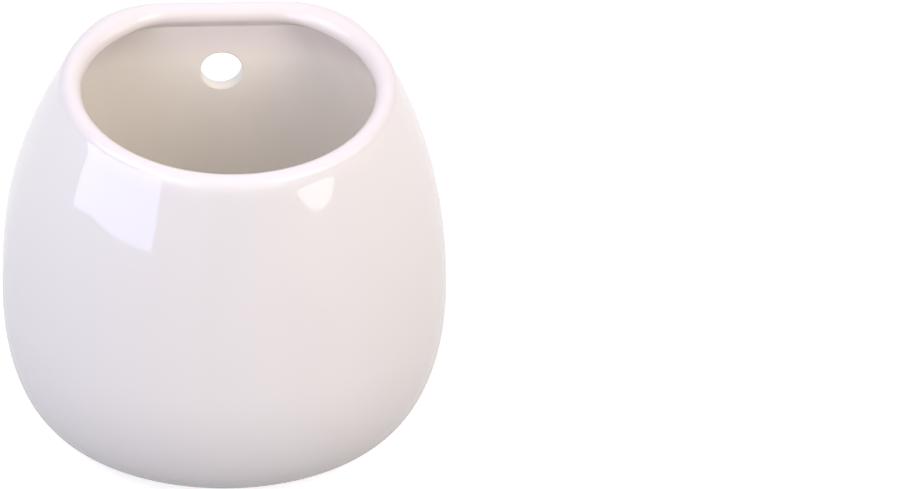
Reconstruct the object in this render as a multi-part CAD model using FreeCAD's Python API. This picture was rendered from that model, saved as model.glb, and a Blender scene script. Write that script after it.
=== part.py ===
import FreeCAD, Part
import os
from collections import namedtuple
from math import atan2, cos, radians, sin, sqrt
from FreeCAD import Matrix, Vector

os.makedirs("parts", exist_ok=True)

# A hanging wall vase: a round bowl with a flat back, a rolled lip and one hanging hole, in millimetres.
# It is one fired clay body under two coats of fused glaze, one outside and one lining the inside.
# The wall is the plane y = 0 and the vase lies in front of it, at negative y. Heights are measured up
# from under the foot, and the finished pieces are then set with the middle of the hanging hole at z = 0.

# Heights
height = 91.9
belly_height = 32.4

# Overall width and depth of the outline at the belly, at the mouth and where the bowl meets its foot
belly_width = 100.0
belly_depth = 74.8
mouth_width = 75.7
mouth_depth = 72.7
base_width = 56.0
base_depth = 47.2

# Distance from the wall to the widest line of each outline, and from the wall to the back of the base
belly_line = 30.2
mouth_line = 32.9
base_line = 33.4
base_setback = 8.0

# How far the widest line stands out past each edge of the flat back, and the radius that rounds the edge
belly_bow = 1.8
mouth_bow = 14.8
base_bow = 14.0
belly_corner = 15.6
mouth_corner = 19.1
base_corner = 12.0

# The back is cast this much proud of the wall plane and ground flat to it
back_grind = 0.15

# Thicknesses: the cast wall, the floor, the rolled lip, and the clay that fills the inside corners
wall = 3.4
floor = 4.4
lip_thickness = 5.1
corner_fill = 8.0
glaze = 0.3

# Foot ring: bare clay, turned in from the edge of the base. The outer coat stops short of it.
foot_height = 1.6
foot_inset = 1.0
foot_width = 4.5
foot_round = 0.5
glaze_stop = 2.0

# Hanging hole, its middle this far below the top of the lip
hole_drop = 17.5
hole_diameter = 9.2
hole_round = 0.6

# The overrun of every cut
overrun = 5.0

# The side view: a power curve above the belly, a rounded corner of two powers below it.
# A share of 0 is the belly. A share of 1 is the lip above it and the base below it.
upper_power_share = 2.1
corner_height_share = 1.9
corner_width_share = 3.2
outer_shares = [0.2, 0.4, 0.58, 0.73, 0.84, 0.91, 0.96, 1]
liner_shares = [0.95, 0.91, 0.84, 0.73, 0.58, 0.4, 0.2]
corner_angles = [12, 26, 40, 53, 65, 75, 83, 87, 90]
lip_angles = [30, 55, 80, 105, 130, 155, 180, 205]

lip_radius = lip_thickness / 2
lip_level = height - lip_radius
hole_height = height - hole_drop


def overhang(lean_in):
    """Return how far a wall that leans in by this much above the belly stands out from the rolled lip."""
    slope = upper_power_share * lean_in / (lip_level - belly_height)
    return lip_radius * (sqrt(1 + slope * slope) - 1)


Outline = namedtuple("Outline", "half front line back flat corner")


def outline(width, depth, line, back, bow, corner):
    """Return the outline of this width and depth, whose back lies this far in front of the wall."""
    half = width / 2
    return Outline(half, back + depth - line, line, back, half - bow, corner)


belly = outline(belly_width, belly_depth, belly_line, 0, belly_bow, belly_corner)._replace(back=-back_grind)
mouth = outline(mouth_width, mouth_depth, mouth_line, 0, mouth_bow, mouth_corner)._replace(back=-back_grind)
lip = mouth._replace(
    half=mouth.half - overhang(belly.half - mouth.half),
    front=mouth.front - overhang(belly.front - mouth.front),
)
base = outline(base_width, base_depth, base_line, base_setback, base_bow, base_corner)


def blend(first, last, share):
    """Return the outline that lies this share of the way from the first to the last."""
    return Outline(*[a + (b - a) * share for a, b in zip(first, last)])


def draw(outline, inset, z):
    """Return the closed wire of an outline at a height, drawn this far inside it.

    From the front it runs along a half ellipse to the widest line, then along a side arc, a corner arc
    and the straight back, and the same on the other side. An inset keeps the centres of the arcs.
    """
    gap = outline.half - outline.flat
    reach = outline.line - outline.back
    side_radius = (gap * gap + reach * reach) / (2 * gap)
    side_x = outline.half - side_radius
    rise = reach - outline.corner
    corner_x = side_x + sqrt((side_radius - outline.corner) ** 2 - rise * rise)
    turn = atan2(rise, corner_x - side_x)
    side = Vector(side_x, -outline.line, z)
    corner = Vector(corner_x, rise - outline.line, z)
    half = [
        front_quarter(outline.half - inset, outline.front - inset, outline.line, z),
        arc(side, side_radius - inset, 0, turn),
        arc(corner, outline.corner - inset, turn, radians(90)),
    ]
    y = inset + outline.back
    back = Part.LineSegment(Vector(corner_x, -y, z), Vector(-corner_x, -y, z)).toShape()
    mirrored = [edge.mirror(Vector(0, 0, 0), Vector(1, 0, 0)) for edge in reversed(half)]
    return Part.Wire(half + [back] + mirrored)


def front_quarter(half, front, line, z):
    """Return the quarter ellipse from the front of an outline to its widest line on the right."""
    quarter = Part.Arc(Vector(0, -1, 0), Vector(sqrt(0.5), -sqrt(0.5), 0), Vector(1, 0, 0)).toShape()
    place = Matrix()
    place.scale(half, front, 1)
    place.move(Vector(0, -line, z))
    return quarter.transformGeometry(place)


def arc(centre, radius, start, end):
    """Return a level arc about a centre, between two angles in radians."""
    points = []
    for angle in (start, (start + end) / 2, end):
        points.append(centre + Vector(radius * cos(angle), radius * sin(angle), 0))
    return Part.Arc(*points).toShape()


def filled(outline, share):
    """Return an outline whose back corners are filled by this share of the corner fill."""
    return outline._replace(flat=outline.flat - corner_fill * share)


def upper_wires(shares, inset, fill):
    """Return the wires of the wall above the belly."""
    wires = []
    for share in shares:
        outline = blend(belly, mouth, share ** upper_power_share)
        z = belly_height + (lip_level - belly_height) * share
        wires.append(draw(filled(outline, fill), inset, z))
    return wires


def corner_wires(inset, bottom, fill):
    """Return the wires of the rounded corner, from just under the belly down to a level bottom."""
    flat_bottom = base._replace(
        half=base.half + inset,
        front=base.front + inset,
        back=base.back - inset,
        flat=base.flat + inset,
        corner=base.corner + inset,
    )
    wires = []
    for angle in corner_angles:
        drop = sin(radians(angle)) ** (2 / corner_height_share)
        share = 1 - abs(cos(radians(angle))) ** (2 / corner_width_share)
        back = belly.back + (flat_bottom.back - belly.back) * share ** 2
        outline = blend(belly, flat_bottom, share)._replace(back=back)
        z = belly_height - (belly_height - bottom) * drop
        wires.append(draw(filled(outline, fill * (1 - share)), inset, z))
    return wires


def lip_wires(depth):
    """Return the wires over the rolled lip, from its outside to its underside on the inside."""
    radius = lip_radius - depth
    wires = []
    for angle in lip_angles:
        swing = cos(radians(angle))
        inset = lip_radius - radius * swing
        z = lip_level + radius * sin(radians(angle))
        wires.append(draw(filled(lip, (1 - swing) / 2), inset, z))
    return wires


def skin(depth):
    """Return the vase with no hole and no foot, with each surface this deep under the finished one.

    One smooth surface runs up the outside, over the lip and down the inside to the floor.
    """
    outside = corner_wires(depth, foot_height + depth, 0)[::-1]
    outside += [draw(belly, depth, belly_height)]
    outside += upper_wires(outer_shares, depth, 0)
    inside = upper_wires(liner_shares, wall - depth, 1)
    inside += [draw(filled(belly, 1), wall - depth, belly_height)]
    inside += corner_wires(wall - depth, foot_height + floor - depth, 1)
    return Part.makeLoft(outside + lip_wires(depth) + inside, True)


def fired(depth):
    """Return the skin with its back ground flat and the hanging hole cut through it, its edges rounded."""
    grinder = Part.makeBox(belly_width, overrun, height, Vector(-belly_width / 2, -depth, 0))
    start = Vector(0, overrun, hole_height)
    radius = hole_diameter / 2 + depth
    drill = Part.makeCylinder(radius, wall + 2 * overrun, start, Vector(0, -1, 0))
    shell = skin(depth).cut(grinder).cut(drill)
    rims = [edge for edge in shell.Edges if is_rim(edge, radius)]
    return shell.makeFillet(hole_round - depth, rims)


def is_rim(edge, radius):
    """Say whether an edge is a rim of the hanging hole."""
    box = edge.BoundBox
    beside = abs(box.Center.x) < hole_round and abs(box.Center.z - hole_height) < hole_round
    return beside and radius < box.ZLength and box.XLength < belly.flat and box.YLength < wall / 2


def prism(outline, inset, bottom, top):
    """Return an upright block with this outline, from one height to another."""
    return Part.Face(draw(outline, inset, bottom)).extrude(Vector(0, 0, top - bottom))


def foot_ring():
    """Return the foot ring, sunk into the floor, with the edges it stands on rounded."""
    top = foot_height + floor / 2
    ring = prism(base, foot_inset, 0, top)
    ring = ring.cut(prism(base, foot_inset + foot_width, -overrun, top + overrun))
    return ring.makeFillet(foot_round, [edge for edge in ring.Edges if edge.BoundBox.ZMax < foot_round])


def liner_space():
    """Return the space inside the middle of the wall, up to the underside of the lip."""
    inset = wall / 2
    levels = upper_wires(liner_shares, inset, 1)
    levels += [draw(filled(belly, 1), inset, belly_height)]
    levels += corner_wires(inset, foot_height + floor / 2, 1)
    return Part.makeLoft(levels, True)


def coats(clay):
    """Return the outer coat, which stops at a line above the foot, and the coat that lines the inside."""
    coat = fired(0).cut(clay)
    coat = coat.cut(prism(base, -glaze_stop, -overrun, foot_height + floor / 2))
    inside = liner_space()
    return coat.cut(inside), coat.common(inside)


def write(name, shape):
    """Write one piece, set with the middle of the hanging hole at the origin, and say what it is."""
    solids = shape.Solids
    print(name, "solids", len(solids), "valid", shape.isValid(), "volume", round(shape.Volume, 1))
    piece = solids[0] if len(solids) == 1 else shape
    piece.translate(Vector(0, 0, -hole_height))
    piece.exportStep("parts/" + name + ".step")


clay = fired(glaze)
outer_glaze, liner_glaze = coats(clay)
write("clay_body", clay.fuse(foot_ring()))
write("outer_glaze", outer_glaze)
write("liner_glaze", liner_glaze)
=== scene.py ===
# %% [markdown]
# # A hanging wall vase in white glaze
# The object is one small slip-cast vase: a round bowl with a flat back, a rolled lip and one hole to hang
# it by. The CAD model holds its size and its place. This lesson makes the smooth clay and the two coats
# of glaze that the CAD solids stand for, gives them their finish, and lights them softly on a pale floor.

from collections import namedtuple
from math import atan2, cos, pi, radians, sin, sqrt

import bmesh
import bpy
from mathutils import Matrix, Quaternion, Vector


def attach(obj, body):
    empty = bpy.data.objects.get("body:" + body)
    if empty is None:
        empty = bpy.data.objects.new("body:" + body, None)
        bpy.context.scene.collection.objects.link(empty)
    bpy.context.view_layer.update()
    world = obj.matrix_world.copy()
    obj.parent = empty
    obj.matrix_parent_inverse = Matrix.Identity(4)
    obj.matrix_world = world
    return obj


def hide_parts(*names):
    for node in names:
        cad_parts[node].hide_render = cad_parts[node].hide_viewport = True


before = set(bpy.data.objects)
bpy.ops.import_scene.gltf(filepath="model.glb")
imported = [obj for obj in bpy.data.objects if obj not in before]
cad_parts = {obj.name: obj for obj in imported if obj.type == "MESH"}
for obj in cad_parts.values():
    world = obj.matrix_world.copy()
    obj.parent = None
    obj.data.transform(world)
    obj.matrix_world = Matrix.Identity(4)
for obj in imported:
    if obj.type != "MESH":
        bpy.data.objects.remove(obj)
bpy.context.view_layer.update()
print("CAD nodes:", sorted(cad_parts))

# %% [markdown]
# ## The camera
# A small object that shows little perspective was seen through a long lens from far away. The camera
# looks down at 35 degrees from slightly to the left of the middle, 1.8 m away. The vase stands at the
# left of the frame, so the camera is turned towards a spot to the right of the vase, and needs no lens
# shift.

# %% Camera
MM = 0.001
ELEVATION, YAW, ROLL = radians(35.21), radians(3.1), radians(0.835)
DISTANCE = 1800 * MM
PIXELS_PER_MM = 4.46
FRAME_WIDTH, FRAME_HEIGHT = 900, 489
VASE_PIXEL = (225.4, 242.8)
VASE_SPOT = Vector((0, -30, -28.45)) * MM

forward = Vector((sin(YAW) * cos(ELEVATION), cos(YAW) * cos(ELEVATION), -sin(ELEVATION)))
level = Vector((cos(YAW), -sin(YAW), 0))
upright = level.cross(forward)
across = level * cos(ROLL) + upright * sin(ROLL)
upwards = upright * cos(ROLL) - level * sin(ROLL)
eye = VASE_SPOT - forward * DISTANCE
sideways = (FRAME_WIDTH / 2 - VASE_PIXEL[0]) / PIXELS_PER_MM * MM
downwards = (FRAME_HEIGHT / 2 - VASE_PIXEL[1]) / PIXELS_PER_MM * MM
look_at = VASE_SPOT + across * sideways - upwards * downwards
gaze = (look_at - eye).normalized()
camera_right = (across - gaze * across.dot(gaze)).normalized()
camera_up = camera_right.cross(gaze)

camera_data = bpy.data.cameras.new("camera")
camera_data.sensor_width = 36
camera_data.lens = camera_data.sensor_width * PIXELS_PER_MM * DISTANCE / MM / FRAME_WIDTH
camera_data.clip_start, camera_data.clip_end = 0.05, 30
camera = bpy.data.objects.new("camera", camera_data)
bpy.context.scene.collection.objects.link(camera)
axes = Matrix((camera_right, camera_up, -gaze)).transposed()
camera.matrix_world = Matrix.Translation(eye) @ axes.to_4x4()
bpy.context.scene.camera = camera
print("lens", round(camera_data.lens, 1), "mm")

# %% [markdown]
# ## The sizes of the vase
# The vase has three outlines, seen from above: at the belly, at the mouth and at the base. Each is half
# an ellipse in front, then a side arc, a rounded corner and a straight back. They are the sizes of the
# CAD model, in millimetres, with heights counted from under the foot. `MM` turns them into metres at the
# very end. `COAT` is a hair less than the glaze, so that the back of a coat never shows through the clay.

# %% Sizes
Section = namedtuple("Section", "half front line back flat corner")
BELLY = Section(half=50.0, front=44.6, line=30.2, back=-0.15, flat=48.2, corner=15.6)
MOUTH = Section(half=37.85, front=39.8, line=32.9, back=-0.15, flat=23.05, corner=19.1)
BASE = Section(half=28.0, front=21.8, line=33.4, back=8.0, flat=14.0, corner=12.0)

HEIGHT, BELLY_HEIGHT, HOLE_HEIGHT = 91.9, 32.4, 74.4
WALL, FLOOR, GLAZE, CORNER_FILL = 3.4, 4.4, 0.3, 8.0
COAT = 0.27
LIP_RADIUS = 2.55
LIP_LEVEL = HEIGHT - LIP_RADIUS
FOOT_HEIGHT, FOOT_INSET, FOOT_WIDTH, FOOT_ROUND = 1.6, 1.0, 4.5, 0.5
HOLE_RADIUS, HOLE_ROUND = 4.6, 0.6
UPPER_POWER, CORNER_HEIGHT_POWER, CORNER_WIDTH_POWER = 2.1, 1.9, 3.2
INNER_BACK = WALL + BELLY.back
MID_WALL = WALL / 2 + BELLY.back


def overhang(lean_in):
    """How far a wall that leans in this much stands out past the roll of the lip."""
    slope = UPPER_POWER * lean_in / (LIP_LEVEL - BELLY_HEIGHT)
    return LIP_RADIUS * (sqrt(1 + slope * slope) - 1)


LIP = MOUTH._replace(
    half=MOUTH.half - overhang(BELLY.half - MOUTH.half),
    front=MOUTH.front - overhang(BELLY.front - MOUTH.front),
)
print("lip half width", round(LIP.half, 2), "mm")

# %% [markdown]
# ## Going round an outline
# A round thing starts as a circle of vertices. Here each vertex of the circle is numbered by its step,
# from 0 at the middle of the front to 72 at the middle of the back, and minus on the left. `spot` says
# where a step lies on an outline. Each stretch of the outline gets a fixed number of steps, so the
# vertices of one ring stand above those of the ring below, and the faces between them are neat quads.

# %% Spots on an outline
FRONT_STEPS, SIDE_STEPS, CORNER_STEPS, BACK_STEPS = 32, 10, 14, 16
HALF_ROUND = FRONT_STEPS + SIDE_STEPS + CORNER_STEPS + BACK_STEPS


def spot(section, inset, step):
    """The x and y of one step round an outline, this far inside it."""
    side = -1 if step < 0 else 1
    step = abs(step)
    gap = section.half - section.flat
    reach = section.line - section.back
    side_radius = (gap * gap + reach * reach) / (2 * gap)
    side_x = section.half - side_radius
    rise = reach - section.corner
    corner_x = side_x + sqrt((side_radius - section.corner) ** 2 - rise * rise)
    turn = atan2(rise, corner_x - side_x)
    if step <= FRONT_STEPS:
        angle = pi / 2 * step / FRONT_STEPS
        x = (section.half - inset) * sin(angle)
        y = -section.line - (section.front - inset) * cos(angle)
    elif step <= FRONT_STEPS + SIDE_STEPS:
        angle = turn * (step - FRONT_STEPS) / SIDE_STEPS
        x = side_x + (side_radius - inset) * cos(angle)
        y = -section.line + (side_radius - inset) * sin(angle)
    elif step <= HALF_ROUND - BACK_STEPS:
        angle = turn + (pi / 2 - turn) * (step - FRONT_STEPS - SIDE_STEPS) / CORNER_STEPS
        x = corner_x + (section.corner - inset) * cos(angle)
        y = rise - section.line + (section.corner - inset) * sin(angle)
    else:
        x = corner_x * (HALF_ROUND - step) / BACK_STEPS
        y = -inset - section.back
    return side * x, y


def between(first, last, share):
    """The outline this share of the way from the first to the last."""
    return Section(*[a + (b - a) * share for a, b in zip(first, last)])


def filled(section, share):
    """The outline with this share of the clay that fills the inside corners."""
    return section._replace(flat=section.flat - CORNER_FILL * share)


# %% [markdown]
# ## Stations up the side
# The side of the vase is described by stations: an outline, how far inside it the surface lies, and a
# height. The upper wall leans in by a power of its height, the corner at the bottom is a soft curve of
# two powers, and the lip is a round roll. One number, the depth under the finished surface, tells the
# glaze from the clay below.

# %% Stations
Station = namedtuple("Station", "section inset z inward", defaults=(0,))


def corner_station(angle, inset, bottom, fill):
    """A station on the rounded corner: 0 degrees at the belly, 90 at the level bottom."""
    flat_bottom = BASE._replace(
        half=BASE.half + inset,
        front=BASE.front + inset,
        back=BASE.back - inset,
        flat=BASE.flat + inset,
        corner=BASE.corner + inset,
    )
    drop = sin(radians(angle)) ** (2 / CORNER_HEIGHT_POWER)
    share = 1 - abs(cos(radians(angle))) ** (2 / CORNER_WIDTH_POWER)
    section = between(BELLY, flat_bottom, share)
    section = section._replace(back=BELLY.back + (flat_bottom.back - BELLY.back) * share ** 2)
    return Station(filled(section, fill * (1 - share)), inset, BELLY_HEIGHT - (BELLY_HEIGHT - bottom) * drop)


def upper_station(share, inset, fill):
    """A station on the wall above the belly: 0 at the belly, 1 at the level of the lip."""
    section = between(BELLY, MOUTH, share ** UPPER_POWER)
    return Station(filled(section, fill), inset, BELLY_HEIGHT + (LIP_LEVEL - BELLY_HEIGHT) * share)


def lip_station(angle, depth):
    """A station on the rolled lip: 0 degrees outside, 90 on the crest, 180 inside."""
    radius = LIP_RADIUS - depth
    swing = cos(radians(angle))
    section = filled(LIP, (1 - swing) / 2)
    inward = min(max((angle - 100) / 60, 0), 1)
    return Station(section, LIP_RADIUS - radius * swing, LIP_LEVEL + radius * sin(radians(angle)), inward)


CORNER_ANGLES = [90 * (1 - (1 - step / 18) ** 2) for step in range(1, 19)]
UPPER_SHARES = [step / 24 for step in range(25)]
LIP_ANGLES = [30 + 175 * step / 14 for step in range(15)]
UNDER_LIP_SHARE = 0.95


def outside_stations(depth, stop_share=None):
    """From the foot up the outside to the lip. stop_share leaves out the part of the corner beyond it."""
    stations = [corner_station(a, depth, FOOT_HEIGHT + depth, 0) for a in reversed(CORNER_ANGLES)]
    if stop_share:
        shares = [1 - abs(cos(radians(a))) ** (2 / CORNER_WIDTH_POWER) for a in reversed(CORNER_ANGLES)]
        stations = [station for station, share in zip(stations, shares) if share < stop_share]
    return stations + [upper_station(share, depth, 0) for share in UPPER_SHARES]


def inside_stations(depth):
    """From under the lip down the inside to the edge of the floor."""
    inset = WALL - depth
    shares = [UNDER_LIP_SHARE * (1 - step / 22) for step in range(23)]
    stations = [upper_station(share, inset, 1) for share in shares]
    return stations + [corner_station(a, inset, FOOT_HEIGHT + FLOOR - depth, 1) for a in CORNER_ANGLES]


print(len(outside_stations(0)), "stations outside,", len(inside_stations(0)), "inside")

# %% [markdown]
# ## Rings of vertices
# A potter's bowl could be spun from a profile, but this one is flat at the back, so it isn't a turned
# shape. It is made from a circle instead: the circle is laid on the first station, its edges are
# extruded, and the new ring is laid on the next station. Each vertex keeps its step in a layer, which an
# extrusion copies to the new vertices.

# %% Making and laying rings
BMVert, BMEdge = bmesh.types.BMVert, bmesh.types.BMEdge
CLOSING_SHARES = (0.78, 0.52, 0.26)


def to_place(x, y, z):
    """Millimetres counted from under the foot, turned into metres counted from the middle of the hole."""
    return Vector((x, y, z - HOLE_HEIGHT)) * MM


def corners_of(ring):
    """The vertices of a ring of edges, each once and always in the same order."""
    return list(dict.fromkeys(vertex for edge in ring for vertex in edge.verts))


def lay(bm, ring, station, depth=0):
    """Lays the vertices of a ring on a station. The back is ground flat to the plane of the wall."""
    steps = bm.verts.layers.int["step"]
    inward = bm.verts.layers.float["inward"]
    for vertex in corners_of(ring):
        x, y = spot(station.section, station.inset, vertex[steps])
        vertex.co = to_place(x, min(y, -depth), station.z)
        vertex[inward] = station.inward


def first_ring(bm, station):
    """A circle with its steps numbered, laid on a station."""
    steps = bm.verts.layers.int.new("step")
    bm.verts.layers.float.new("inward")
    made = bmesh.ops.create_circle(bm, segments=2 * HALF_ROUND, radius=1)["verts"]
    for vertex in made:
        vertex[steps] = round(atan2(vertex.co.x, -vertex.co.y) / pi * HALF_ROUND)
    ring = list(bm.edges)
    lay(bm, ring, station)
    return ring


def next_ring(bm, ring):
    """Extrudes a ring of edges, and returns the new ring."""
    made = bmesh.ops.extrude_edge_only(bm, edges=ring)["geom"]
    fresh = {part for part in made if isinstance(part, BMVert)}
    return [part for part in made if isinstance(part, BMEdge) and fresh.issuperset(part.verts)]


def climb(bm, ring, stations, depth=0):
    """Extrudes a ring through a row of stations, and returns the last ring."""
    for station in stations:
        ring = next_ring(bm, ring)
        lay(bm, ring, station, depth)
    return ring


def close_level(bm, ring):
    """Closes a level ring with smaller rings and a face in the middle."""
    last = 1
    for share in CLOSING_SHARES:
        ring = next_ring(bm, ring)
        corners = corners_of(ring)
        centre = sum((v.co for v in corners), Vector()) / len(corners)
        ratio = share / last
        bmesh.ops.scale(bm, verts=corners, vec=(ratio, ratio, 1), space=Matrix.Translation(-centre))
        last = share
    face = bmesh.ops.contextual_create(bm, geom=ring)["faces"]
    bmesh.ops.poke(bm, faces=face)


# %% [markdown]
# ## The hanging hole
# The hole is drilled through the back while the clay is leather-hard, and a damp sponge rounds its rims.
# On the mesh, the faces of the flat back around it are taken out. The edge of the gap is extruded onto a
# circle, and then round the rim and into the wall. This keeps quads all round, which a Boolean cut
# wouldn't.

# %% Opening the hole in a back wall
WINDOW_STEPS, WINDOW_ROWS = 6, 4
RIM_ANGLES = (18, 36, 54, 72, 90)


def window_in(bm, wall_y):
    """The faces of a flat back round the hole: some steps to each side, some rows up and down."""
    steps = bm.verts.layers.int["step"]
    flat = [v for v in bm.verts if abs(v.co.y - wall_y * MM) < 0.01 * MM]
    rows = sorted({round(v.co.z / MM, 3) for v in flat if abs(v[steps]) == HALF_ROUND})
    middle = rows.index(min(rows, key=abs))
    low, high = rows[middle - WINDOW_ROWS] - 0.01, rows[middle + WINDOW_ROWS] + 0.01
    near = {v for v in flat if abs(v[steps]) >= HALF_ROUND - WINDOW_STEPS and low < v.co.z / MM < high}
    return [face for face in bm.faces if near.issuperset(face.verts)]


def open_hole(bm, wall_y, into, depth, last_y=None):
    """Opens the hole in a flat wall. into is 1 or -1, the way in along Y. Returns the last ring."""
    window = window_in(bm, wall_y)
    inner = dict.fromkeys(edge for face in window for edge in face.edges)
    ring = [edge for edge in inner if not all(face in window for face in edge.link_faces)]
    bmesh.ops.delete(bm, geom=window, context="FACES")
    fillet = HOLE_ROUND - depth
    wide = HOLE_RADIUS + HOLE_ROUND
    turns = [(wide + 1.2, 0), (wide + 0.5, 0), (wide, 0)]
    turns += [(wide - fillet * sin(radians(a)), fillet * (1 - cos(radians(a)))) for a in RIM_ANGLES]
    if last_y is not None:
        whole = (last_y - wall_y) * into
        turns += [(HOLE_RADIUS + depth, whole * share) for share in (0.6, 0.9, 1)]
    for radius, sunk in turns:
        ring = next_ring(bm, ring)
        rim = sorted(corners_of(ring), key=lambda vertex: atan2(vertex.co.x, vertex.co.z))
        top = min(range(len(rim)), key=lambda index: abs(rim[index].co.x) - rim[index].co.z)
        for index, vertex in enumerate(rim):
            angle = 2 * pi * (index - top) / len(rim)
            vertex.co = Vector((radius * sin(angle), wall_y + sunk * into, radius * cos(angle))) * MM
    return ring


# %% [markdown]
# ## Finishing a piece
# Every piece ends the same way: doubles are merged, its faces are turned to the side that is seen and
# put in order, it becomes an object at the origin that rides on the vase, and it takes the place of the
# CAD node that it was made from. A coat of glaze is a sheet up to here, and Solidify gives it its
# thickness towards the clay. One level of subdivision then rounds the quads, and smooth shading carries
# the gloss over them.

# %% Turning a mesh into a piece
def face_towards(bm, near, direction):
    """Turns all faces of a sheet so that the face nearest to a spot looks along a direction."""
    bmesh.ops.remove_doubles(bm, verts=bm.verts, dist=0.001 * MM)
    bmesh.ops.recalc_face_normals(bm, faces=bm.faces)
    bm.normal_update()
    nearest = min(bm.faces, key=lambda face: (face.calc_center_median() - near).length)
    if nearest.normal.dot(Vector(direction)) < 0:
        bmesh.ops.reverse_faces(bm, faces=bm.faces)


def put_in_order(bm):
    """Sorts the edges and faces by their corners, because an extrusion lists them differently each run."""
    bm.verts.index_update()
    count = len(bm.verts)

    def place(part):
        low, middle, *rest = sorted(vertex.index for vertex in part.verts)
        return (low * count + middle) * count + (rest[0] if rest else 0)

    bm.edges.sort(key=place)
    bm.faces.sort(key=place)


def finish_piece(bm, name, node, thickness=None):
    """Makes the object of a piece in place of its CAD node."""
    put_in_order(bm)
    for face in bm.faces:
        face.smooth = True
    mesh = bpy.data.meshes.new(name)
    bm.to_mesh(mesh)
    bm.free()
    piece = bpy.data.objects.new(name, mesh)
    bpy.context.scene.collection.objects.link(piece)
    if thickness:
        coat = piece.modifiers.new("coat thickness", "SOLIDIFY")
        coat.thickness, coat.offset = thickness * MM, -1
    rounding = piece.modifiers.new("rounding", "SUBSURF")
    rounding.levels = rounding.render_levels = 1
    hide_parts(node)
    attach(piece, "root")
    print(name, len(mesh.polygons), "faces before the modifiers")
    return piece


# %% [markdown]
# ## The clay body
# The clay is one closed shell: the flat underside, the foot ring it stands on, the outside, the core of
# the lip and the inside. It lies one coat of glaze below the finished surface, and only the foot is left
# bare. It could be kept as the CAD solid, but a closed mesh with smooth quads makes a cleaner foot and a
# better file.

# %% Clay body
FOOT_CREASE = 0.4


def foot_stations():
    """From the inner edge of the foot ring, under the ring and out to the edge of the base."""
    underside = FOOT_HEIGHT + GLAZE
    inner, outer = FOOT_INSET + FOOT_WIDTH, FOOT_INSET
    stations = [Station(BASE, inner + FOOT_CREASE, underside), Station(BASE, inner, underside - FOOT_CREASE)]
    for angle in (0, 30, 60, 90):
        turn = radians(angle)
        stations.append(Station(BASE, inner - FOOT_ROUND * (1 - cos(turn)), FOOT_ROUND * (1 - sin(turn))))
    stations.append(Station(BASE, (inner + outer) / 2, 0))
    for angle in (90, 60, 30, 0):
        turn = radians(angle)
        stations.append(Station(BASE, outer + FOOT_ROUND * (1 - cos(turn)), FOOT_ROUND * (1 - sin(turn))))
    stations += [Station(BASE, outer, underside - FOOT_CREASE), Station(BASE, outer - 0.3, underside - 0.05)]
    return stations


def make_clay():
    bm = bmesh.new()
    underside = Station(BASE, FOOT_INSET + FOOT_WIDTH + 1.2, FOOT_HEIGHT + GLAZE)
    start = first_ring(bm, underside)
    ring = climb(bm, start, foot_stations())
    ring = climb(bm, ring, outside_stations(GLAZE), GLAZE)
    ring = climb(bm, ring, [lip_station(a, GLAZE) for a in LIP_ANGLES], GLAZE)
    ring = climb(bm, ring, inside_stations(GLAZE))
    close_level(bm, ring)
    close_level(bm, start)
    outer = open_hole(bm, -GLAZE, -1, GLAZE)
    inner = open_hole(bm, GLAZE - INNER_BACK, 1, GLAZE)
    bmesh.ops.bridge_loops(bm, edges=outer + inner)
    face_towards(bm, to_place(0, -75, BELLY_HEIGHT), (0, -1, 0))
    return finish_piece(bm, "fired_clay", "clay_body")


clay_piece = make_clay()

# %% [markdown]
# ## The outer glaze
# The vase is dipped upside down, so the outer glaze runs from a line just above the foot, up the outside
# and over the lip, and it lines the outer half of the hole. Near the foot the glaze stops in a soft bead
# where it has gathered. It is made as a sheet with the finished surface's shape, and thickened towards
# the clay.

# %% Outer glaze
STOP_SHARE = 0.8
BEAD = ((88.3, 0.2), (88.2, 0.05), (88.0, -0.07), (87.6, -0.14), (87.0, -0.15), (86.2, -0.09))


def make_outer_glaze():
    bm = bmesh.new()
    stations = [corner_station(angle, depth, FOOT_HEIGHT + depth, 0) for angle, depth in BEAD]
    stations += outside_stations(0, STOP_SHARE)
    ring = first_ring(bm, stations[0])
    ring = climb(bm, ring, stations[1:])
    ring = climb(bm, ring, [lip_station(a, 0) for a in LIP_ANGLES])
    climb(bm, ring, inside_stations(0)[:1])
    open_hole(bm, 0, -1, 0, last_y=-MID_WALL)
    face_towards(bm, to_place(0, -75, BELLY_HEIGHT), (0, -1, 0))
    return finish_piece(bm, "outer_glaze_coat", "outer_glaze", thickness=COAT)


outer_piece = make_outer_glaze()

# %% [markdown]
# ## The liner glaze
# The inside is glazed by filling the vase and pouring it out. This coat starts under the roll of the lip,
# runs down the walls, crosses the floor and lines the inner half of the hole.

# %% Liner glaze
def make_liner_glaze():
    bm = bmesh.new()
    stations = inside_stations(0)
    ring = first_ring(bm, stations[0])
    ring = climb(bm, ring, stations[1:])
    close_level(bm, ring)
    open_hole(bm, -INNER_BACK, 1, 0, last_y=-MID_WALL)
    face_towards(bm, to_place(0, -40, FOOT_HEIGHT + FLOOR), (0, 0, 1))
    return finish_piece(bm, "liner_glaze_coat", "liner_glaze", thickness=COAT)


liner_piece = make_liner_glaze()

# %% [markdown]
# ## Writing shader maths
# A material is a graph of nodes. Sums on its values read best as Python, so `Flow` wraps a socket and
# turns each operator into a Math node. Every other node comes from `Finish.add`, which takes the node's
# settings first and then the values or links of its sockets.

# %% Sockets that can be added and multiplied
class Flow:
    """A value that flows out of a node."""

    def __init__(self, finish, socket):
        self.finish, self.socket = finish, socket

    def math(self, operation, first, second):
        return self.finish.add("ShaderNodeMath", {"operation": operation}, {0: first, 1: second})

    def __add__(self, other):
        return self.math("ADD", self, other)

    def __sub__(self, other):
        return self.math("SUBTRACT", self, other)

    def __rsub__(self, other):
        return self.math("SUBTRACT", other, self)

    def __mul__(self, other):
        return self.math("MULTIPLY", self, other)

    def __pow__(self, other):
        return self.math("POWER", self, other)

    __radd__, __rmul__ = __add__, __mul__


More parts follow.
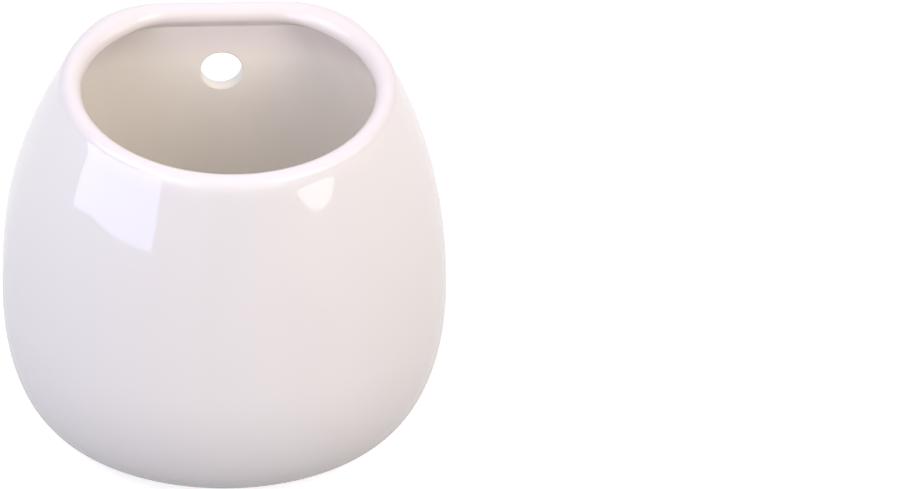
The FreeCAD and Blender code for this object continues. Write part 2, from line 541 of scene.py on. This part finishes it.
class Finish:
    """The node tree of one material, or of the world."""

    def __init__(self, owner):
        owner.use_nodes = True
        self.tree = owner.node_tree
        self.tree.nodes.clear()

    def add(self, kind, settings=None, inputs=None, output=0):
        """Adds a node: its settings first, then the values or links of its sockets."""
        node = self.tree.nodes.new(kind)
        for name, value in (settings or {}).items():
            setattr(node, name, value)
        for key, value in (inputs or {}).items():
            if isinstance(value, Flow):
                self.tree.links.new(value.socket, node.inputs[key])
            else:
                node.inputs[key].default_value = value
        return Flow(self, node.outputs[output]) if node.outputs else None

    def mix(self, factor, first, last):
        """Mixes two colours by a factor."""
        first, last = [c if isinstance(c, Flow) else (*c, 1) for c in (first, last)]
        return self.add("ShaderNodeMix", {"data_type": "RGBA"}, {0: factor, 6: first, 7: last}, output=2)

    def ramp(self, value, low, high):
        """0 up to low, 1 from high on, and a soft step between."""
        return self.add(
            "ShaderNodeMapRange",
            {"interpolation_type": "SMOOTHSTEP"},
            {"Value": value, "From Min": low, "From Max": high},
        )

    def noise(self, place, size, detail=2, roughness=0.5):
        """Soft noise whose lumps are about this many millimetres wide."""
        scale = 1 / (size * MM)
        settings = {"noise_dimensions": "3D", "normalize": True}
        values = {"Vector": place, "Scale": scale, "Detail": detail, "Roughness": roughness}
        return self.add("ShaderNodeTexNoise", settings, values)

    def bump(self, height, distance, normal=None):
        """A bump this many millimetres high."""
        values = {"Height": height, "Distance": distance * MM, "Strength": 1.0}
        if normal:
            values["Normal"] = normal
        return self.add("ShaderNodeBump", {}, values)


def new_finish(name):
    material = bpy.data.materials.new(name)
    return material, Finish(material)


# %% [markdown]
# ## White glaze
# The glaze is glass with a white stain in it: very smooth, bright where it catches a lamp, and not quite
# flat. Its surface has long soft waves from the dipping and a fine orange peel. Where the coat lies thick,
# just above the foot, it is a touch greyer. On the crest of the lip the clay shows through the stretched
# glaze, and the tint there is also darkened as painted shade, to hold down the lit crest. The inward slope
# of the lip is painted darker as shade, and so is a band of the liner just under the lip.

# %% White glaze
STOP_LEVEL = FOOT_HEIGHT - HOLE_HEIGHT


def make_glaze(name, colour, thick_colour, thin_glaze_and_shade_colour, inward_shade_colour, thin_glaze_and_shade_levels):
    """A band between two levels gets its own tint: thin glaze with painted shade on the outer crest, and
    painted shade under the lip inside. The inward slope of the lip gets a painted shade tint.
    """
    material, finish = new_finish(name)
    place = finish.add("ShaderNodeTexCoord", output="Object")
    level = finish.add("ShaderNodeSeparateXYZ", {}, {0: place}, output="Z")
    inward = finish.add("ShaderNodeAttribute", {"attribute_name": "inward"}, output="Fac")
    clouds = finish.noise(place, 22, detail=3)
    thick = finish.ramp(level, (STOP_LEVEL + 7) * MM, STOP_LEVEL * MM)
    thin_and_shade_band = finish.ramp(level, (thin_glaze_and_shade_levels[0] - HOLE_HEIGHT) * MM, (thin_glaze_and_shade_levels[1] - HOLE_HEIGHT) * MM)
    tint = finish.mix(clouds * 0.5, colour, thick_colour)
    tint = finish.mix(thick * 0.6, tint, thick_colour)
    # The band between two levels: thin glaze darkened as painted shade on the outer crest, painted shade
    # under the lip inside.
    tint = finish.mix(thin_and_shade_band, tint, thin_glaze_and_shade_colour)
    # The inward slope of the lip is painted darker: painted shade.
    tint = finish.mix(inward, tint, inward_shade_colour)
    waves = finish.noise(place, 14, detail=1)
    peel = finish.noise(place, 0.9, detail=2)
    patches = finish.noise(place, 3.1, detail=0)
    normal = finish.bump(waves, 0.05)
    normal = finish.bump(peel, 0.0012, normal)
    gloss = {"Value": patches, "From Min": 0.3, "From Max": 0.7, "To Min": 0.035, "To Max": 0.06}
    roughness = finish.add("ShaderNodeMapRange", {}, gloss)
    surface = {"Base Color": tint, "Roughness": roughness, "Normal": normal, "IOR": 1.5}
    shader = finish.add("ShaderNodeBsdfPrincipled", {}, surface)
    finish.add("ShaderNodeOutputMaterial", {}, {"Surface": shader})
    return material


# The second colour is painted shade, for the inward slope of the lip and the band inside under it.
WARM, LIP_SHADE = (0.92, 0.885, 0.83), (0.74, 0.69, 0.68)
outer_material = make_glaze(
    "white outer glaze",
    colour=(0.86, 0.83, 0.83),
    thick_colour=(0.80, 0.79, 0.80),
    # The crest is thin glaze over the clay, also darkened as painted shade; the inward slope of the lip is
    # painted shade.
    thin_glaze_and_shade_colour=(0.78, 0.73, 0.755),
    inward_shade_colour=LIP_SHADE,
    thin_glaze_and_shade_levels=(HEIGHT - 2.4, HEIGHT - 0.3),
)
liner_material = make_glaze(
    "warm liner glaze",
    colour=WARM,
    thick_colour=(0.86, 0.82, 0.765),
    # The top of the liner, under the lip, is painted darker as shade.
    thin_glaze_and_shade_colour=LIP_SHADE,
    inward_shade_colour=WARM,
    thin_glaze_and_shade_levels=(HEIGHT - 16, HEIGHT - 6),
)
outer_piece.data.materials.append(outer_material)
liner_piece.data.materials.append(liner_material)

# %% [markdown]
# ## Bare fired clay
# Under the foot the clay is bare: chalky, off-white, with fine grains and no gloss at all.

# %% Bare clay
def make_bare_clay():
    material, finish = new_finish("bare white clay")
    place = finish.add("ShaderNodeTexCoord", output="Object")
    grains = finish.noise(place, 0.35, detail=3, roughness=0.7)
    clouds = finish.noise(place, 9, detail=3)
    tint = finish.mix(clouds, (0.80, 0.76, 0.69), (0.70, 0.65, 0.57))
    normal = finish.bump(grains, 0.03)
    surface = {"Base Color": tint, "Roughness": 0.85, "Normal": normal}
    shader = finish.add("ShaderNodeBsdfPrincipled", {}, surface)
    finish.add("ShaderNodeOutputMaterial", {}, {"Surface": shader})
    return material


clay_piece.data.materials.append(make_bare_clay())
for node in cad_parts.values():
    node.data.materials.clear()
    node.data.materials.append(clay_piece.data.materials[0] if node.name == "clay_body" else outer_material)

# %% [markdown]
# ## The floor and the background
# The vase stands on a pale floor in a white room. The room is white for the camera, a little greyer where
# the gloss mirrors it, and darker still for the light that it sheds, so that the vase keeps its edges and
# its shading. The floor keeps the vase's soft shadow. Right under the foot it sheds some light of its
# own, as if a white card lay there, so that the bare clay and the foot ring can be seen from below.

# %% Floor
def seen_and_mirrored(finish):
    """1 for what the camera sees, straight or through glass, and 1 for what a gloss mirrors."""
    straight = finish.add("ShaderNodeLightPath", output="Is Camera Ray")
    through = finish.add("ShaderNodeLightPath", output="Is Transmission Ray")
    mirrored = finish.add("ShaderNodeLightPath", output="Is Glossy Ray")
    return finish.add("ShaderNodeMath", {"operation": "MAXIMUM"}, {0: straight, 1: through}), mirrored


def grey(level):
    return level, level, level


FLOOR_LEVEL = -HOLE_HEIGHT * MM
FOOT_SPOT = Vector((0, -31.6 * MM, FLOOR_LEVEL))
bm = bmesh.new()
bmesh.ops.create_grid(bm, x_segments=8, y_segments=8, size=6, matrix=Matrix.Translation((0, 0, FLOOR_LEVEL)))
floor_mesh = bpy.data.meshes.new("floor")
bm.to_mesh(floor_mesh)
bm.free()
floor = bpy.data.objects.new("floor", floor_mesh)
bpy.context.scene.collection.objects.link(floor)

floor_material, finish = new_finish("pale floor")
seen, mirrored = seen_and_mirrored(finish)
place = finish.add("ShaderNodeTexCoord", output="Object")
apart = {"operation": "DISTANCE"}
from_foot = finish.add("ShaderNodeVectorMath", apart, {0: place, 1: FOOT_SPOT}, output="Value")
under_foot = finish.ramp(from_foot, 33 * MM, 26 * MM)
shed = finish.mix(under_foot, grey(0.03), (0.42, 0.41, 0.39))
paint = finish.mix(seen, finish.mix(mirrored, grey(0.14), grey(0.6)), grey(0.8))
glow = finish.mix(seen, finish.mix(mirrored, shed, grey(0.3)), grey(0.61))
matt = finish.add("ShaderNodeBsdfDiffuse", {}, {"Color": paint})
shining = finish.add("ShaderNodeEmission", {}, {"Color": glow, "Strength": 1.0})
lit = finish.add("ShaderNodeAddShader", {}, {0: matt, 1: shining})
clear = finish.add("ShaderNodeBsdfTransparent")
underneath = finish.add("ShaderNodeNewGeometry", output="Backfacing")
surface = finish.add("ShaderNodeMixShader", {}, {0: underneath, 1: lit, 2: clear})
finish.add("ShaderNodeOutputMaterial", {}, {"Surface": surface})
floor_mesh.materials.append(floor_material)

# %% World
world = bpy.data.worlds.new("white room")
bpy.context.scene.world = world
finish = Finish(world)
seen, mirrored = seen_and_mirrored(finish)
sky = finish.mix(seen, finish.mix(mirrored, (0.49, 0.49, 0.50), (0.89, 0.89, 0.91)), (1, 1, 1))
room = finish.add("ShaderNodeBackground", {}, {"Color": sky, "Strength": 1.0})
finish.add("ShaderNodeOutputWorld", {}, {"Surface": room})

# %% [markdown]
# ## The lamps
# Eight large soft lamps stand round the vase: cool ones to the left, as from a window, a warm one to the
# right, and two behind that light the lip and the back. Together they light a surface about as brightly
# as it is painted. Each is given by its direction seen from the vase: 0 degrees is behind it, 90 to its
# right and 180 in front. The two behind are kept out of the gloss, where they would burn out the lip and
# the edges.
#
# The vase also mirrors two near things, which are seen only in the gloss: a window pane on the left, and
# on the right a small lamp whose glow fades outwards in three steps. The pane is a card with corners of
# its own, because the curved glaze would show a plain rectangle with a round corner.

# %% Lamps
MIDDLE = Vector((0, -35, -30)) * MM


def around(turn, rise, distance):
    """A place seen from the middle of the vase in a direction, in degrees, at a distance in metres."""
    turn, rise = radians(turn), radians(rise)
    return MIDDLE + Vector((sin(turn) * cos(rise), cos(turn) * cos(rise), sin(rise))) * distance


def add_lamp(name, place, target, size, power, colour, shape="RECTANGLE", turn=0):
    """A soft lamp that looks at a target. Sizes in metres, power in watts, its own turn in degrees."""
    data = bpy.data.lights.new(name, "AREA")
    data.shape, data.size, data.size_y = shape, size[0], size[1]
    data.energy, data.color = power, colour
    lamp = bpy.data.objects.new(name, data)
    bpy.context.scene.collection.objects.link(lamp)
    lamp.location = place
    lamp.rotation_mode = "QUATERNION"
    aim = (target - place).to_track_quat("-Z", "Y")
    lamp.rotation_quaternion = aim @ Quaternion((0, 0, 1), radians(turn))
    lamp.visible_camera = False
    return lamp


LAMP_SIZE = (0.9, 0.9)
add_lamp("window light", around(-90, 45, 1.5), MIDDLE, LAMP_SIZE, 6.6, (0.85, 0.88, 1))
add_lamp("cool light front left", around(-135, 30, 1.5), MIDDLE, LAMP_SIZE, 7.2, (0.86, 0.82, 1))
add_lamp("warm light front right", around(130, 40, 1.5), MIDDLE, LAMP_SIZE, 11.2, (1, 0.86, 0.74))
add_lamp("fill light right", around(90, 30, 1.5), MIDDLE, LAMP_SIZE, 3.4, (0.97, 0.9, 1))
add_lamp("low light left", around(-145, 8, 1.6), MIDDLE, LAMP_SIZE, 3.7, (0.98, 0.98, 1))
add_lamp("low light right", around(160, 8, 1.6), MIDDLE, LAMP_SIZE, 3.0, (1, 0.98, 0.99))
behind = [
    add_lamp("light behind", around(0, 55, 1.6), MIDDLE, LAMP_SIZE, 2.8, (1, 0.96, 0.93)),
    add_lamp("low light behind", around(10, 12, 1.6), MIDDLE, LAMP_SIZE, 6.0, (0.98, 0.98, 1)),
]
for lamp in behind:
    lamp.visible_glossy = False

# %% Cards seen in the gloss
PANE_PLACE, PANE_RIGHT = Vector((-191, -105, -12.5)) * MM, Vector((0.714, -0.7, 0))
PANE_COLOUR, PANE_STRENGTH = (0.66, 0.68, 1), 4.8
PANE_TOP = 55
PANE_CORNERS = (
    (-162, PANE_TOP),
    (-162, -2),
    (-123, -44),
    (-100, -60),
    (-25, -48),
    (22, -50),
    (67, -54),
    (104, -61),
    (102, -47),
    (95, -30),
    (95, PANE_TOP),
)
BULB_SIZES = (((0.080, 0.024), 0.0145), ((0.060, 0.018), 0.0135), ((0.036, 0.0115), 0.012))
BULB_PLACE, BULB_TARGET = Vector((141.1, -153.9, -40.5)) * MM, Vector((18, -68, 8)) * MM


def add_pane(name, place, right, corners, colour, strength):
    """A glowing card. Its corners are given in millimetres to its right and up, from its middle."""
    bm = bmesh.new()
    made = bmesh.ops.create_circle(bm, cap_ends=True, segments=len(corners), radius=1)["verts"]
    for vertex, (sideways, up) in zip(made, corners):
        vertex.co = place + (right * sideways + Vector((0, 0, up))) * MM
    mesh = bpy.data.meshes.new(name)
    bm.to_mesh(mesh)
    bm.free()
    card = bpy.data.objects.new(name, mesh)
    bpy.context.scene.collection.objects.link(card)
    material, finish = new_finish(name)
    shining = finish.add("ShaderNodeEmission", {}, {"Color": (*colour, 1), "Strength": strength})
    finish.add("ShaderNodeOutputMaterial", {}, {"Surface": shining})
    mesh.materials.append(material)
    card.visible_camera = card.visible_shadow = False
    return card


cards = [add_pane("window pane", PANE_PLACE, PANE_RIGHT, PANE_CORNERS, PANE_COLOUR, PANE_STRENGTH)]
for size, power in BULB_SIZES:
    cards.append(add_lamp("small lamp", BULB_PLACE, BULB_TARGET, size, power, (1, 1, 1), "ELLIPSE", turn=14))
for card in cards:
    card.visible_diffuse = False

# %% [markdown]
# ## Colours as they are
# The Standard view shows a colour as it is written, which suits a plain studio picture.

# %% View
bpy.context.scene.view_settings.view_transform = "Standard"
